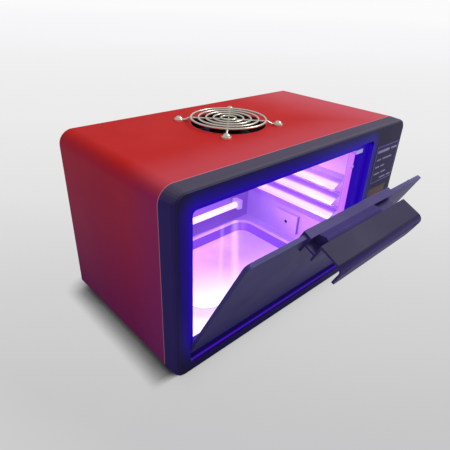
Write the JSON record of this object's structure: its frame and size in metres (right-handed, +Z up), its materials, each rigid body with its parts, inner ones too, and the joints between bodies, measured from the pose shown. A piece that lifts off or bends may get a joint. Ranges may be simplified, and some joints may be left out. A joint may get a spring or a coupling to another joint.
{
  "type": "dental lab light curing unit",
  "caption": "Desk-top light curing unit: sheet case with a roof fan, moulded bezel, drop-down door with a deep handle, bright chamber with racks, lamps and tray, and a control side.",
  "frame": {"origin": "centre of the bounding box's bottom face, with the door open as in the picture", "axes": "+X to the right seen from the front, +Y from the front to the back, +Z up"},
  "size_m": [0.33, 0.2649, 0.185],
  "materials": {
    "red_paint": "satin",
    "grey_sheet": "satin",
    "bezel_plastic": "matt",
    "foot_rubber": "matt",
    "screw_steel": "polished",
    "door_plastic": "satin",
    "handle_plastic": "satin",
    "plate_steel": "satin",
    "magnet_plating": "satin",
    "liner_aluminium": "bright",
    "rack_aluminium": "bright",
    "tray_steel": "polished",
    "lamp_glass": "frosted",
    "holder_plastic": "matt",
    "fan_plastic": "matt",
    "guard_wire": "polished",
    "label_film": "satin",
    "window_plastic": "gloss",
    "board_green": "satin",
    "button_plastic": "satin",
    "switch_black": "satin",
    "rocker_red": "gloss",
    "driver_case": "satin"
  },
  "bodies": {
    "housing": {"outer_case": "red_paint", "base_plate": "grey_sheet", "back_panel": "red_paint", "front_bezel": "bezel_plastic", "rubber_feet": "foot_rubber", "foot_screws": "screw_steel", "panel_screws": "screw_steel", "hinge_pins": "screw_steel", "door_magnet": "magnet_plating", "chamber_floor": "liner_aluminium", "chamber_back": "liner_aluminium", "chamber_left": "liner_aluminium", "chamber_right": "liner_aluminium", "chamber_ceiling": "liner_aluminium", "left_rack": "rack_aluminium", "right_rack": "rack_aluminium", "flange_screws": "screw_steel", "back_lamp": "lamp_glass", "ceiling_lamps": "lamp_glass", "lamp_holders": "holder_plastic", "sensor_cover": "liner_aluminium", "fan_frame": "fan_plastic", "guard_rings": "guard_wire", "guard_arms": "guard_wire", "guard_screws": "screw_steel", "guard_nuts": "screw_steel", "control_label": "label_film", "display_window": "window_plastic", "control_board": "board_green", "board_screws": "screw_steel", "switch_body": "switch_black", "lamp_driver": "driver_case", "driver_screws": "screw_steel", "mains_inlet": "switch_black", "inlet_screws": "screw_steel"},
    "door": {"door_panel": "door_plastic", "door_handle": "handle_plastic", "strike_plate": "plate_steel"},
    "fan": {"fan_rotor": "fan_plastic"},
    "minus": {"minus_button": "button_plastic"},
    "plus": {"plus_button": "button_plastic"},
    "start": {"start_button": "button_plastic"},
    "rocker": {"switch_rocker": "rocker_red"},
    "pan": {"tray": "tray_steel"}
  },
  "joints": [
    {"name": "door_hinge", "type": "hinge", "parent": "housing", "child": "door", "pos_m": [-0.0245, -0.04139, 0.0254], "axis": [1, 0, 0], "range_deg": [-26, 0]},
    {"name": "fan_spin", "type": "hinge", "parent": "housing", "child": "fan", "pos_m": [-0.018, 0.05811, 0.17], "axis": [0, 0, 1], "continuous": true},
    {"name": "minus_press", "type": "slide", "parent": "housing", "child": "minus", "axis": [0, 1, 0], "range_m": [0, 0.0012], "stiffness_N_per_m": 400, "springref_m": -0.001},
    {"name": "plus_press", "type": "slide", "parent": "housing", "child": "plus", "axis": [0, 1, 0], "range_m": [0, 0.0012], "stiffness_N_per_m": 400, "springref_m": -0.001},
    {"name": "start_press", "type": "slide", "parent": "housing", "child": "start", "axis": [0, 1, 0], "range_m": [0, 0.0012], "stiffness_N_per_m": 400, "springref_m": -0.001},
    {"name": "rocker_tip", "type": "hinge", "parent": "housing", "child": "rocker", "pos_m": [0.12975, -0.04039, 0.0295], "axis": [0, 0, 1], "range_deg": [-20, 0]},
    {"name": "tray_lift", "type": "slide", "parent": "housing", "child": "pan", "axis": [0, 0, 1], "range_m": [0, 0.09]}
  ]
}
